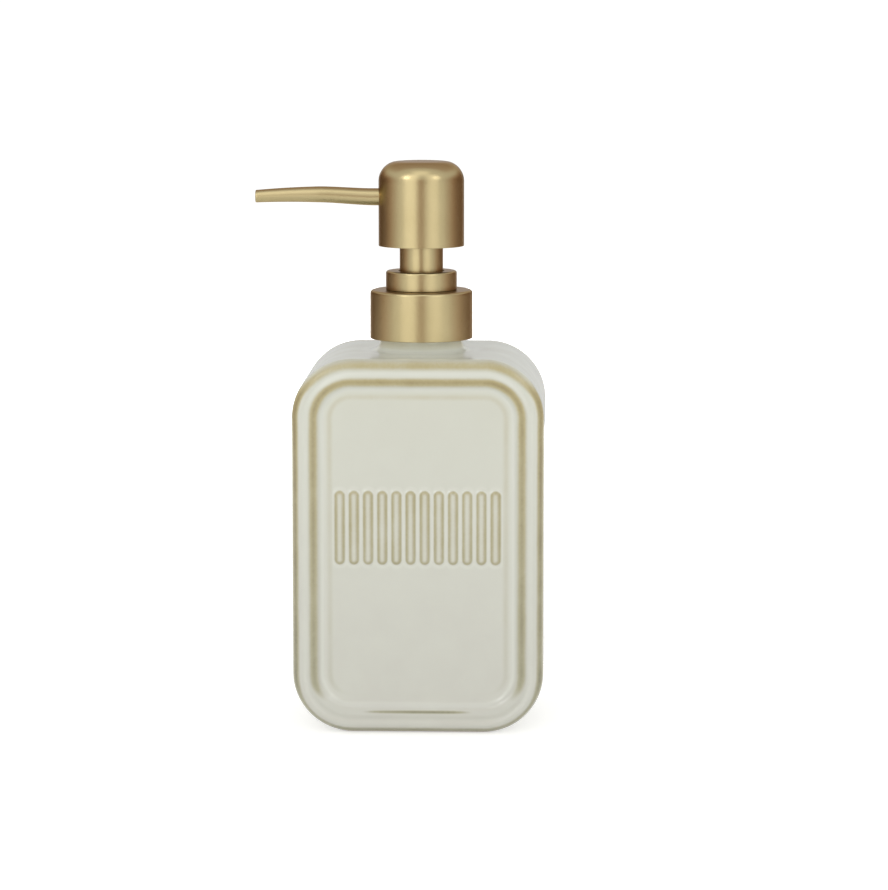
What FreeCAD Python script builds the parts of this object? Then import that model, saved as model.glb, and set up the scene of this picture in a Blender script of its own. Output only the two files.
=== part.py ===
"""Countertop detergent dispenser: a glazed stoneware bottle with a metal-clad lotion pump.

Frame: +Z up, the front panel faces -Y, the nozzle points to -X, and the origin is the middle of the
base on the pump's axis. Lengths are millimetres.
"""
import FreeCAD, Part
import math
import os
import re
import Sketcher

# Driving dimensions. Each one is a cell of the spreadsheet, under the same alias.
SIZES = {
    # Stoneware bottle
    "body_width": 80.0,
    "body_depth": 64.0,
    "body_height": 120.0,
    "corner_radius": 19.0,
    "edge_radius": 3.5,
    "wall": 4.5,
    "floor_thickness": 6.0,
    "cavity_edge_radius": 7.0,
    "panel_inset": 8.7,
    "panel_depth": 1.4,
    "panel_blend": 0.6,
    "valley_inset": 4.3,
    "valley_radius": 2.6,
    "valley_depth": 0.55,
    "foot_rim": 4.0,
    "foot_recess": 1.2,
    "neck_wall": 2.75,
    "neck_height": 6.0,
    "neck_flare": 2.4,
    "rim_round": 0.8,
    # Threaded ring cemented into the neck, and its washer
    "ring_wall": 1.1,
    "cement_gap": 0.05,
    "spigot_depth": 10.0,
    "thread_wall": 4.15,
    "thread_height": 8.8,
    "thread_lead_in": 0.6,
    "gasket_thickness": 1.0,
    # Pump housing
    "housing_wall": 1.0,
    "insertion_gap": 0.25,
    "flange_overhang": 3.6,
    "flange_thickness": 1.6,
    "barrel_bore": 12.4,
    "barrel_wall": 1.2,
    "shoulder_thickness": 1.4,
    "ledge_thickness": 1.6,
    "vent_bore": 1.0,
    "vent_drop": 3.0,
    # Inlet valve
    "inlet_ball": 5.0,
    "inlet_bore": 3.0,
    "inlet_land": 1.2,
    "ball_lift": 1.5,
    "ball_flow_gap": 0.9,
    "ball_stop_gap": 0.1,
    "nib_count": 3,
    "nib_reach": 0.6,
    "nib_width": 1.2,
    "nib_height": 1.2,
    "nib_drop": 0.8,
    # Dip tube
    "tube_outer": 6.4,
    "tube_wall": 1.0,
    "socket_depth": 9.0,
    "tube_floor_gap": 3.0,
    "tube_bevel": 4.0,
    # Screw cap and the collar drawn over it
    "thread_gap": 0.2,
    "cap_wall": 2.35,
    "cap_top_thickness": 1.5,
    "cap_hole_gap": 0.3,
    "cap_setback": 0.5,
    "cap_lead_in": 0.8,
    "sheet_metal": 0.5,
    "collar_round": 1.0,
    "neck_show": 3.8,
    # Chaplet and its cover ring
    "turn_gap": 0.1,
    "ring_height": 6.2,
    "ring_round": 0.8,
    "chaplet_wall": 1.8,
    "chaplet_top_thickness": 1.9,
    "well_wall": 0.75,
    "well_floor": 1.2,
    "cover_hole_gap": 0.4,
    "fit_gap": 0.05,
    # Stem, piston and spring
    "stroke": 12.0,
    "sleeve_outer": 14.0,
    "sleeve_clearance": 0.3,
    "sleeve_engagement": 3.5,
    "bottom_gap": 0.4,
    "stem_outer": 7.8,
    "stem_step": 0.6,
    "stem_bore": 4.0,
    "stem_hole_gap": 0.25,
    "piston_height": 7.5,
    "piston_gap": 0.1,
    "piston_clearance": 0.05,
    "piston_hub_wall": 1.2,
    "lip_width": 0.65,
    "lip_height": 1.0,
    "lip_slope": 1.6,
    "lip_notch": 0.35,
    "waist_step": 0.75,
    "retainer_flange": 10.4,
    "retainer_thickness": 1.6,
    "retainer_spigot": 6.0,
    "retainer_bore": 2.6,
    "spring_guide": 1.5,
    "spring_guide_gap": 0.25,
    "spring_wire": 0.8,
    "spring_mean": 9.8,
    "spring_turns": 7,
    "spring_end_gap": 0.45,
    "spring_spare": 0.9,
    # Outlet valve
    "outlet_ball": 4.76,
    "outlet_bore": 2.8,
    "outlet_land": 2.0,
    "outlet_mouth": 1.6,
    "outlet_flow_gap": 0.8,
    "outlet_slot_width": 1.2,
    "outlet_slot_height": 1.4,
    "outlet_height": 7.4,
    # Head
    "head_stop_gap": 2.2,
    "head_clearance": 1.85,
    "head_crown": 1.1,
    "head_round": 5.5,
    "head_room": 6.6,
    "rib_gap": 2.5,
    "rib_count": 6,
    "rib_width": 1.4,
    "web_thickness": 1.5,
    "web_gap": 1.25,
    "boss_wall": 1.35,
    "nozzle_rise": 15.7,
    # Nozzle
    "nozzle_root": 5.3,
    "nozzle_hump_outer": 5.0,
    "nozzle_tip_outer": 4.05,
    "nozzle_wall": 0.5,
    "nozzle_seat": 6.5,
    "nozzle_collar_gap": 1.0,
    "nozzle_reach": 53.5,
    "nozzle_hump_reach": 33.4,
    "nozzle_hump_span": 11.0,
    "nozzle_hump_rise": 0.75,
    "nozzle_tip_drop": 0.65,
    "nozzle_hole_gap": 0.1,
    "channel_bore": 3.4,
}

# Sizes and heights that follow from the driving ones, as formulas of their names.
FORMULAS = {
    # Inside of the bottle, whose wall is kept behind the sunk panels
    "cavity_depth": "body_depth - 2 * (wall + panel_depth)",
    # Diameters, from the stem outwards to the neck, the cap and the collar
    "well_bore": "sleeve_outer + 2 * sleeve_clearance",
    "well_outer": "well_bore + 2 * well_wall",
    "upper_bore": "well_outer + 2 * fit_gap",
    "upper_outer": "upper_bore + 2 * housing_wall",
    "ring_bore": "upper_outer + 2 * insertion_gap",
    "spigot_outer": "ring_bore + 2 * ring_wall",
    "neck_bore": "spigot_outer + 2 * cement_gap",
    "neck_outer": "neck_bore + 2 * neck_wall",
    "thread_outer": "ring_bore + 2 * thread_wall",
    "flange_outer": "upper_outer + 2 * flange_overhang",
    "cap_bore": "thread_outer + 2 * thread_gap",
    "cap_outer": "cap_bore + 2 * cap_wall",
    "cap_hole": "upper_outer + 2 * cap_hole_gap",
    "collar_outer": "cap_outer + 2 * sheet_metal",
    "chaplet_bore": "upper_outer + 2 * fit_gap",
    "chaplet_outer": "chaplet_bore + 2 * chaplet_wall",
    "cover_outer": "chaplet_outer + 2 * sheet_metal",
    "cover_hole": "sleeve_outer + 2 * cover_hole_gap",
    "head_bore": "cover_outer + 2 * head_clearance",
    "head_outer": "head_bore + 2 * sheet_metal",
    "barrel_outer": "barrel_bore + 2 * barrel_wall",
    "stem_hole": "stem_outer + 2 * stem_hole_gap",
    "stem_neck": "stem_outer - 2 * stem_step",
    "piston_bore": "stem_neck + 2 * piston_clearance",
    "piston_outer": "barrel_bore - 2 * piston_clearance",
    "piston_hub": "piston_bore + 2 * piston_hub_wall",
    "lip_inner": "piston_outer - 2 * lip_width",
    "notch_inner": "piston_hub + 2 * lip_notch",
    "waist_outer": "piston_outer - 2 * waist_step",
    "spring_guide_outer": "spring_mean - spring_wire - 2 * spring_guide_gap",
    "chamber_bore": "inlet_ball + 2 * ball_flow_gap",
    "nib_circle": "inlet_ball - 2 * nib_reach",
    "tail_outer": "max(chamber_bore; tube_outer) + 2 * barrel_wall",
    "tube_bore": "tube_outer - 2 * tube_wall",
    "hub_outer": "sleeve_outer - 2 * sheet_metal",
    "outlet_chamber": "outlet_ball + 2 * outlet_flow_gap",
    "boss_outer": "nozzle_root + 2 * boss_wall",
    # Heights, from the shoulder of the bottle up to the top of the head
    "neck_rim": "body_height + neck_height",
    "spigot_low": "neck_rim - spigot_depth",
    "thread_top": "neck_rim + thread_height",
    "flange_low": "thread_top + gasket_thickness",
    "flange_top": "flange_low + flange_thickness",
    "cap_top": "flange_top + cap_top_thickness",
    "collar_top": "cap_top + sheet_metal",
    "collar_low": "body_height + neck_show",
    "cap_low": "collar_low + cap_setback",
    "chaplet_low": "collar_top + turn_gap",
    "cover_top": "collar_top + ring_height",
    "chaplet_top": "cover_top - sheet_metal",
    "housing_top": "chaplet_top - chaplet_top_thickness",
    "head_low": "collar_top + head_stop_gap + stroke",
    "nozzle_axis": "head_low + nozzle_rise",
    "core_top": "nozzle_axis + boss_outer / 2 + web_gap",
    "web_low": "core_top - web_thickness",
    "head_top": "core_top + head_room",
    "head_shoulder": "head_top - head_crown",
    "rib_low": "cover_top + stroke + rib_gap",
    "stem_top": "nozzle_axis - outlet_height",
    "outlet_seat": "stem_top - outlet_mouth",
    "outlet_center": "outlet_seat - outlet_bore / 2 + outlet_ball / 2 * sqrt(2) + fit_gap",
    "outlet_stop": "outlet_center + outlet_ball / 2 + ball_lift + ball_stop_gap",
    # Heights, from the chaplet down to the end of the dip tube
    "sleeve_low": "cover_top - sleeve_engagement",
    "well_top": "sleeve_low - stroke - bottom_gap",
    "barrel_top": "well_top - well_floor",
    "step_high": "barrel_top - shoulder_thickness",
    "step_low": "step_high - (upper_outer - barrel_outer) / 2",
    "piston_top": "barrel_top - piston_gap",
    "stem_shoulder": "piston_top + fit_gap",
    "piston_low": "piston_top - piston_height",
    "retainer_top": "piston_low - fit_gap",
    "retainer_low": "retainer_top - retainer_thickness",
    "spring_top": "retainer_low - fit_gap",
    "spring_low": "spring_top - stroke - spring_turns * spring_wire - spring_spare",
    "ledge": "spring_low - fit_gap",
    "nib_top": "ledge - nib_drop",
    "nib_low": "nib_top - nib_height",
    "inlet_center": "nib_low - ball_stop_gap - ball_lift - inlet_ball / 2",
    "inlet_seat": "inlet_center - fit_gap + inlet_bore / 2 - inlet_ball / 2 * sqrt(2)",
    "chamber_low": "inlet_seat + (chamber_bore - inlet_bore) / 2",
    "socket_top": "inlet_seat - inlet_land",
    "socket_low": "socket_top - socket_depth",
    "taper_high": "ledge - ledge_thickness",
    "taper_low": "taper_high - (barrel_outer - tail_outer) / 2",
    "tube_low": "floor_thickness + tube_floor_gap",
}

TOLERANCE = 1e-4
AXIS = "0"

doc = FreeCAD.newDocument("detergent_dispenser")
sheet = doc.addObject("Spreadsheet::Sheet", "Sizes")
for row, (alias, size) in enumerate(SIZES.items(), start=1):
    sheet.set(f"A{row}", alias)
    sheet.set(f"B{row}", str(size))
    sheet.setAlias(f"B{row}", alias)
doc.recompute()


def formula(text):
    """Write a formula of size names as an expression on the spreadsheet's cells."""
    def spell(match):
        word = match.group(0)
        if word in FORMULAS:
            return "(" + formula(FORMULAS[word]) + ")"
        return "Sizes." + word if word in SIZES else word
    return re.sub(r"[a-z_]+", spell, text)


def value(text):
    """The present value of a formula."""
    return float(sheet.evalExpression(formula(text)))


def bind(feature, name, text):
    """Tie a property of a feature to a formula."""
    feature.setExpression(name, formula(text))


def new_body(label):
    body = doc.addObject("PartDesign::Body", label)
    body.Label = label
    return body


def origin_part(body, role):
    """The plane or axis of a body's own origin that has this role."""
    return next(part for part in body.Origin.OriginFeatures if part.Role == role)


def new_sketch(body, name, role, lift=None):
    """A sketch on one of the body's origin planes, lifted along the plane's normal."""
    sketch = body.newObject("Sketcher::SketchObject", name)
    sketch.AttachmentSupport = [(origin_part(body, role), "")]
    sketch.MapMode = "FlatFace"
    if lift:
        bind(sketch, "AttachmentOffset.Base.z", lift)
    return sketch


def pin(sketch, kind, edge, end, text):
    """Set how far a sketch point lies from the sketch's origin, across or up, by a formula."""
    amount = value(text)
    if text == AXIS:
        line = -2 if kind == "DistanceX" else -1
        sketch.addConstraint(Sketcher.Constraint("PointOnObject", edge, end, line))
        return
    ends = (-1, 1, edge, end) if amount > 0 else (edge, end, -1, 1)
    index = sketch.addConstraint(Sketcher.Constraint(kind, *ends, abs(amount)))
    bind(sketch, f"Constraints[{index}]", text if amount > 0 else f"-({text})")


def place_point(sketch, edge, end, across, up):
    """Tie one end of a sketch edge to the sketch's origin by two formulas."""
    pin(sketch, "DistanceX", edge, end, across)
    pin(sketch, "DistanceY", edge, end, up)


def draw_outline(sketch, corners):
    """Draw a closed outline through corners given as (across, up).

    A third item, "crown", makes the edge that leaves the corner an arc centred on the upright axis.
    """
    points = [FreeCAD.Vector(value(corner[0]), value(corner[1]), 0) for corner in corners]
    reversed_edges = set()
    for index, corner in enumerate(corners):
        start = points[index]
        end = points[(index + 1) % len(points)]
        if len(corner) == 2:
            sketch.addGeometry(Part.LineSegment(start, end), False)
            continue
        center = crown_center(start, end)
        circle = Part.Circle(center, FreeCAD.Vector(0, 0, 1), (start - center).Length)
        angles = [math.atan2(point.y - center.y, point.x - center.x) for point in (start, end)]
        sketch.addGeometry(Part.ArcOfCircle(circle, min(angles), max(angles)), False)
        sketch.addConstraint(Sketcher.Constraint("PointOnObject", index, 3, -2))
        if angles[1] < angles[0]:
            reversed_edges.add(index)
    for index, corner in enumerate(corners):
        after = (index + 1) % len(corners)
        first = 2 if index in reversed_edges else 1
        last = 3 - first
        next_first = 2 if after in reversed_edges else 1
        sketch.addConstraint(Sketcher.Constraint("Coincident", index, last, after, next_first))
        place_point(sketch, index, first, corner[0], corner[1])


def crown_center(start, end):
    """The point on the upright axis that is as far from both ends of a crowned edge."""
    rise = ((end.x ** 2 + end.y ** 2) - (start.x ** 2 + start.y ** 2)) / (2 * (end.y - start.y))
    return FreeCAD.Vector(0, rise, 0)


def draw_circle(sketch, across, up, diameter):
    """Draw one circle whose centre and diameter follow formulas."""
    center = FreeCAD.Vector(value(across), value(up), 0)
    sketch.addGeometry(Part.Circle(center, FreeCAD.Vector(0, 0, 1), value(diameter) / 2), False)
    place_point(sketch, 0, 3, across, up)
    index = sketch.addConstraint(Sketcher.Constraint("Diameter", 0, value(diameter)))
    bind(sketch, f"Constraints[{index}]", diameter)


def draw_rounded_rectangle(sketch, half_width, low, high, radius):
    """Draw a rectangle with four equal round corners, even about the sketch's upright axis."""
    side, bottom, top, bend = (value(text) for text in (half_width, low, high, radius))
    corners = [(-side, bottom, 180), (side, bottom, 270), (side, top, 0), (-side, top, 90)]
    for x, y, start_angle in corners:
        center = FreeCAD.Vector(x - math.copysign(bend, x), y + (bend if y == bottom else -bend), 0)
        circle = Part.Circle(center, FreeCAD.Vector(0, 0, 1), bend)
        start = math.radians(start_angle)
        sketch.addGeometry(Part.ArcOfCircle(circle, start, start + math.pi / 2), False)
    arcs = sketch.Geometry
    for index in range(4):
        line = Part.LineSegment(arcs[index].EndPoint, arcs[(index + 1) % 4].StartPoint)
        sketch.addGeometry(line, False)
    for index in range(4):
        after = (index + 1) % 4
        sketch.addConstraint(Sketcher.Constraint("Tangent", index, 2, index + 4, 1))
        sketch.addConstraint(Sketcher.Constraint("Tangent", index + 4, 2, after, 1))
        sketch.addConstraint(Sketcher.Constraint("Horizontal" if index % 2 == 0 else "Vertical", index + 4))
        if index:
            sketch.addConstraint(Sketcher.Constraint("Equal", 0, index))
    pin(sketch, "DistanceX", 5, 1, half_width)
    pin(sketch, "DistanceX", 7, 1, f"-({half_width})")
    pin(sketch, "DistanceY", 4, 1, low)
    pin(sketch, "DistanceY", 6, 1, high)
    index = sketch.addConstraint(Sketcher.Constraint("Radius", 0, bend))
    bind(sketch, f"Constraints[{index}]", radius)


def add_turned(body, name, corners, cut=False):
    """Turn an outline, given as (radius, height) corners, once round the pump's axis."""
    sketch = new_sketch(body, name + "Outline", "XZ_Plane")
    draw_outline(sketch, corners)
    feature = body.newObject("PartDesign::Groove" if cut else "PartDesign::Revolution", name)
    feature.Profile = sketch
    feature.ReferenceAxis = (sketch, ["V_Axis"])
    feature.Angle = 360
    return feature


def add_straight(body, name, sketch, length, cut=False, backwards=False, both_ways=False):
    """Pad or pocket a sketch along its normal."""
    feature = body.newObject("PartDesign::Pocket" if cut else "PartDesign::Pad", name)
    feature.Profile = sketch
    feature.Reversed = backwards
    if both_ways:
        feature.SideType = "Symmetric"
    bind(feature, "Length", length)
    return feature


def add_pattern(body, name, feature, count):
    """Repeat a feature evenly round the pump's axis."""
    pattern = body.newObject("PartDesign::PolarPattern", name)
    pattern.Originals = [feature]
    pattern.Axis = (origin_part(body, "Z_Axis"), [""])
    pattern.Angle = 360
    bind(pattern, "Occurrences", count)
    body.Tip = pattern
    return pattern


def add_fillet(body, name, feature, radius, chosen):
    """Round the edges of a feature that the test picks out."""
    doc.recompute()
    edges = [
        f"Edge{index}"
        for index, edge in enumerate(feature.Shape.Edges, start=1)
        if not edge.Degenerated and chosen(edge)
    ]
    fillet = body.newObject("PartDesign::Fillet", name)
    fillet.Base = (feature, edges)
    bind(fillet, "Radius", radius)
    return fillet


def ring_edge(diameter, height):
    """A test for the round edge of this diameter at this height."""
    radius = value(diameter) / 2
    level = value(height)

    def chosen(edge):
        if not isinstance(edge.Curve, Part.Circle):
            return False
        center = edge.Curve.Center
        on_axis = math.hypot(center.x, center.y) < TOLERANCE
        return on_axis and abs(edge.Curve.Radius - radius) < TOLERANCE and abs(center.z - level) < TOLERANCE
    return chosen


def rim_edges(distance, inset_limit=None):
    """A test for edges that lie in the two upright planes this far in front of and behind the axis.

    With inset_limit, only edges that stay further in from the bottle's sides than that are taken.
    """
    depth = value(distance)
    widest = value("body_width") / 2 - (value(inset_limit) if inset_limit else 0)

    def chosen(edge):
        box = edge.BoundBox
        level = box.YLength < TOLERANCE and abs(abs(box.YMin) - depth) < TOLERANCE
        return level and max(abs(box.XMin), abs(box.XMax)) < widest + TOLERANCE
    return chosen


def turned_part(label, corners):
    """A body that is one turned outline."""
    body = new_body(label)
    add_turned(body, label + "_turned", corners)
    return body


def tube_outline(inner, outer, low, high):
    """The outline of a plain ring or tube."""
    return [(f"{inner} / 2", low), (f"{outer} / 2", low), (f"{outer} / 2", high), (f"{inner} / 2", high)]


def bottle_body():
    """Slip-cast bottle: a rounded block with a moulded frame on both broad faces, hollow, with a neck."""
    body = new_body("bottle_body")
    front = new_sketch(body, "FrontOutline", "XZ_Plane")
    draw_rounded_rectangle(front, "body_width / 2", AXIS, "body_height", "corner_radius")
    block = add_straight(body, "Block", front, "body_depth", both_ways=True)
    edges = add_fillet(body, "SoftEdges", block, "edge_radius", rim_edges("body_depth / 2"))
    neck_outline = [
        (AXIS, "body_height - wall"),
        ("neck_outer / 2", "body_height - wall"),
        ("neck_outer / 2", "neck_rim"),
        (AXIS, "neck_rim"),
    ]
    neck = add_turned(body, "Neck", neck_outline)
    flare = add_fillet(body, "NeckFlare", neck, "neck_flare", ring_edge("neck_outer", "body_height"))
    add_fillet(body, "NeckRim", flare, "rim_round", ring_edge("neck_outer", "neck_rim"))
    panel = new_sketch(body, "PanelOutline", "XZ_Plane", "body_depth / 2")
    draw_rounded_rectangle(panel, "body_width / 2 - panel_inset", "panel_inset",
                           "body_height - panel_inset", "corner_radius - panel_inset")
    panel_cut = add_straight(body, "Panel", panel, "panel_depth", cut=True)
    valley_cut = add_valley(body)
    both_faces = body.newObject("PartDesign::Mirrored", "BackFace")
    both_faces.Originals = [panel_cut, valley_cut]
    both_faces.MirrorPlane = (origin_part(body, "XZ_Plane"), [""])
    body.Tip = both_faces
    ridge = add_fillet(body, "FrameRidge", both_faces, "panel_blend",
                       rim_edges("body_depth / 2", "panel_inset"))
    foot = add_fillet(body, "PanelFoot", ridge, "panel_blend",
                      rim_edges("body_depth / 2 - panel_depth", "panel_inset"))
    cavity = new_sketch(body, "CavityOutline", "XZ_Plane")
    draw_rounded_rectangle(cavity, "body_width / 2 - wall", "floor_thickness",
                           "body_height - wall", "corner_radius - wall")
    hollow = add_straight(body, "Cavity", cavity, "cavity_depth", cut=True, both_ways=True)
    add_fillet(body, "CavityEdges", hollow, "cavity_edge_radius", rim_edges("cavity_depth / 2", "wall"))
    bore_outline = [
        (AXIS, "body_height - 2 * wall"),
        ("neck_bore / 2", "body_height - 2 * wall"),
        ("neck_bore / 2", "neck_rim"),
        (AXIS, "neck_rim"),
    ]
    add_turned(body, "NeckBore", bore_outline, cut=True)
    recess = new_sketch(body, "FootOutline", "XY_Plane")
    draw_rounded_rectangle(recess, "body_width / 2 - corner_radius - foot_rim",
                           "edge_radius + foot_rim - body_depth / 2",
                           "body_depth / 2 - edge_radius - foot_rim", "foot_rim")
    add_straight(body, "FootRecess", recess, "foot_recess", cut=True, backwards=True)
    return body


def add_valley(body):
    """Cut the round-bottomed valley of the frame by a circle carried round the front face."""
    stand_off = "body_depth / 2 + valley_radius - valley_depth"
    path = new_sketch(body, "ValleyPath", "XZ_Plane", stand_off)
    draw_rounded_rectangle(path, "body_width / 2 - valley_inset", "valley_inset",
                           "body_height - valley_inset", "corner_radius - valley_inset")
    section = new_sketch(body, "ValleySection", "YZ_Plane")
    draw_circle(section, f"-({stand_off})", "valley_inset", "2 * valley_radius")
    valley = body.newObject("PartDesign::SubtractivePipe", "Valley")
    valley.Profile = section
    valley.Spine = path
    return valley


def neck_thread_ring():
    """Moulded ring cemented into the neck, which carries the thread for the cap."""
    return turned_part("neck_thread_ring", [
        ("ring_bore / 2", "spigot_low"),
        ("spigot_outer / 2", "spigot_low"),
        ("spigot_outer / 2", "neck_rim"),
        ("thread_outer / 2", "neck_rim"),
        ("thread_outer / 2", "thread_top - thread_lead_in"),
        ("thread_outer / 2 - thread_lead_in", "thread_top"),
        ("ring_bore / 2", "thread_top"),
    ])


def neck_gasket():
    """Flat washer between the neck ring and the flange of the pump."""
    return turned_part("neck_gasket", tube_outline("ring_bore", "flange_outer", "thread_top", "flange_low"))


def pump_housing():
    """Pump cylinder: guide at the top, flange, barrel, inlet valve chamber and dip tube socket."""
    body = turned_part("pump_housing", [
        ("upper_bore / 2", "housing_top"),
        ("upper_bore / 2", "barrel_top"),
        ("barrel_bore / 2", "barrel_top"),
        ("barrel_bore / 2", "ledge"),
        ("chamber_bore / 2", "ledge"),
        ("chamber_bore / 2", "chamber_low"),
        ("inlet_bore / 2", "inlet_seat"),
        ("inlet_bore / 2", "socket_top"),
        ("tube_outer / 2", "socket_top"),
        ("tube_outer / 2", "socket_low"),
        ("tail_outer / 2", "socket_low"),
        ("tail_outer / 2", "taper_low"),
        ("barrel_outer / 2", "taper_high"),
        ("barrel_outer / 2", "step_low"),
        ("upper_outer / 2", "step_high"),
        ("upper_outer / 2", "flange_low"),
        ("flange_outer / 2", "flange_low"),
        ("flange_outer / 2", "flange_top"),
        ("upper_outer / 2", "flange_top"),
        ("upper_outer / 2", "housing_top"),
    ])
    nib = new_sketch(body, "NibOutline", "XY_Plane", "nib_low")
    draw_outline(nib, [
        ("nib_circle / 2", "-nib_width / 2"),
        ("chamber_bore / 2 + barrel_wall / 2", "-nib_width / 2"),
        ("chamber_bore / 2 + barrel_wall / 2", "nib_width / 2"),
        ("nib_circle / 2", "nib_width / 2"),
    ])
    add_pattern(body, "BallStops", add_straight(body, "BallStop", nib, "nib_height"), "nib_count")
    vent = new_sketch(body, "VentOutline", "XZ_Plane")
    draw_circle(vent, AXIS, "barrel_top - vent_drop", "vent_bore")
    add_straight(body, "Vent", vent, "barrel_outer", cut=True)
    return body


def chaplet():
    """Bush snapped on the housing: it traps the cap, guides the sleeve and stops the piston."""
    return turned_part("chaplet", [
        ("stem_hole / 2", "barrel_top"),
        ("well_outer / 2", "barrel_top"),
        ("well_outer / 2", "housing_top"),
        ("chaplet_bore / 2", "housing_top"),
        ("chaplet_bore / 2", "chaplet_low"),
        ("chaplet_outer / 2", "chaplet_low"),
        ("chaplet_outer / 2", "chaplet_top"),
        ("well_bore / 2", "chaplet_top"),
        ("well_bore / 2", "well_top"),
        ("stem_hole / 2", "well_top"),
    ])


def drawn_cup(label, hole, inner, outer, low, under, top, bend):
    """Sheet metal drawn into a ring with a flat top, a centre hole and a rounded outer edge."""
    body = new_body(label)
    cup = add_turned(body, label + "_turned", [
        (f"{hole} / 2", under),
        (f"{inner} / 2", under),
        (f"{inner} / 2", low),
        (f"{outer} / 2", low),
        (f"{outer} / 2", top),
        (f"{hole} / 2", top),
    ])
    add_fillet(body, label + "_edge", cup, bend, ring_edge(outer, top))
    return body


def screw_cap():
    """Moulded cap under the collar: it screws on the neck ring and clamps the housing's flange."""
    return turned_part("screw_cap", [
        ("cap_hole / 2", "flange_top"),
        ("cap_bore / 2", "flange_top"),
        ("cap_bore / 2", "cap_low + cap_lead_in"),
        ("cap_bore / 2 + cap_lead_in", "cap_low"),
        ("cap_outer / 2", "cap_low"),
        ("cap_outer / 2", "cap_top"),
        ("cap_hole / 2", "cap_top"),
    ])


def piston():
    """Double-lipped piston that wipes the barrel, held on the stem's neck."""
    return turned_part("piston", [
        ("piston_bore / 2", "piston_low"),
        ("piston_hub / 2", "piston_low"),
        ("notch_inner / 2", "piston_low + lip_slope"),
        ("lip_inner / 2", "piston_low"),
        ("piston_outer / 2", "piston_low"),
        ("piston_outer / 2", "piston_low + lip_height"),
        ("waist_outer / 2", "piston_low + lip_height + lip_slope"),
        ("waist_outer / 2", "piston_top - lip_height - lip_slope"),
        ("piston_outer / 2", "piston_top - lip_height"),
        ("piston_outer / 2", "piston_top"),
        ("lip_inner / 2", "piston_top"),
        ("notch_inner / 2", "piston_top - lip_slope"),
        ("piston_hub / 2", "piston_top"),
        ("piston_bore / 2", "piston_top"),
    ])


def piston_retainer():
    """Plug pressed into the foot of the stem: it holds the piston and seats the spring."""
    return turned_part("piston_retainer", [
        ("retainer_bore / 2", "retainer_low - spring_guide"),
        ("spring_guide_outer / 2", "retainer_low - spring_guide"),
        ("spring_guide_outer / 2", "retainer_low"),
        ("retainer_flange / 2", "retainer_low"),
        ("retainer_flange / 2", "retainer_top"),
        ("stem_bore / 2", "retainer_top"),
        ("stem_bore / 2", "retainer_top + retainer_spigot"),
        ("retainer_bore / 2", "retainer_top + retainer_spigot"),
    ])


def stem():
    """Hollow stem from the piston up into the head, with the outlet ball's seat at its top."""
    return turned_part("stem", [
        ("stem_bore / 2", "retainer_top"),
        ("stem_neck / 2", "retainer_top"),
        ("stem_neck / 2", "stem_shoulder"),
        ("stem_outer / 2", "stem_shoulder"),
        ("stem_outer / 2", "stem_top"),
        ("outlet_bore / 2 + outlet_mouth", "stem_top"),
        ("outlet_bore / 2", "outlet_seat"),
        ("outlet_bore / 2", "outlet_seat - outlet_land"),
        ("stem_bore / 2", "outlet_seat - outlet_land - (stem_bore - outlet_bore) / 2"),
    ])


def return_spring():
    """Compression spring: one round wire on quarter-turn arcs, with its two end turns drawn close."""
    wire, mean, turns = (value(name) for name in ("spring_wire", "spring_mean", "spring_turns"))
    low = value("spring_low") + wire / 2
    rise = value("spring_top") - value("spring_low") - wire
    end_pitch = wire + value("spring_end_gap")
    pitch = (rise - 2 * end_pitch) / (turns - 2)

    def point(turn):
        climb = end_pitch * min(turn, 1) + pitch * min(max(turn - 1, 0), turns - 2)
        climb += end_pitch * max(turn - turns + 1, 0)
        angle = 2 * math.pi * turn
        return FreeCAD.Vector(mean / 2 * math.cos(angle), mean / 2 * math.sin(angle), low + climb)

    quarters = int(round(4 * turns))
    arcs = [
        Part.Arc(point(i / 4), point((i + 0.5) / 4), point((i + 1) / 4)).toShape()
        for i in range(quarters)
    ]
    path = Part.Wire(arcs)
    start = arcs[0].tangentAt(arcs[0].FirstParameter)
    section = Part.Wire([Part.Circle(point(0), start, wire / 2).toShape()])
    shell = Part.BRepOffsetAPI.MakePipeShell(path)
    shell.add(section)
    shell.build()
    shell.makeSolid()
    samples = [point(i / 24) for i in range(int(24 * turns) + 1)]
    gap = min((a - b).Length for i, a in enumerate(samples) for b in samples[i + 12:]) - wire
    print(f"return_spring least gap to itself {gap:.2f} mm")
    spring = doc.addObject("Part::Feature", "return_spring")
    spring.Shape = shell.shape()
    spring.Placement = FreeCAD.Placement()
    return spring


def valve_ball(label, diameter, height):
    """One ball of a check valve, resting on its cone."""
    ball = doc.addObject("Part::Sphere", label)
    ball.Label = label
    bind(ball, "Radius", f"{diameter} / 2")
    bind(ball, "Placement.Base.z", height)
    return ball


def dip_tube():
    """Suction tube pressed into the housing, cut slantwise at its foot."""
    body = turned_part("dip_tube", tube_outline("tube_bore", "tube_outer", "tube_low", "socket_top"))
    slant = new_sketch(body, "SlantOutline", "XZ_Plane")
    draw_outline(slant, [
        ("-tube_outer / 2", "tube_low"),
        ("tube_outer / 2", "tube_low"),
        ("tube_outer / 2", "tube_low + tube_bevel"),
    ])
    add_straight(body, "Slant", slant, "2 * tube_outer", cut=True, both_ways=True)
    return body


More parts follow.
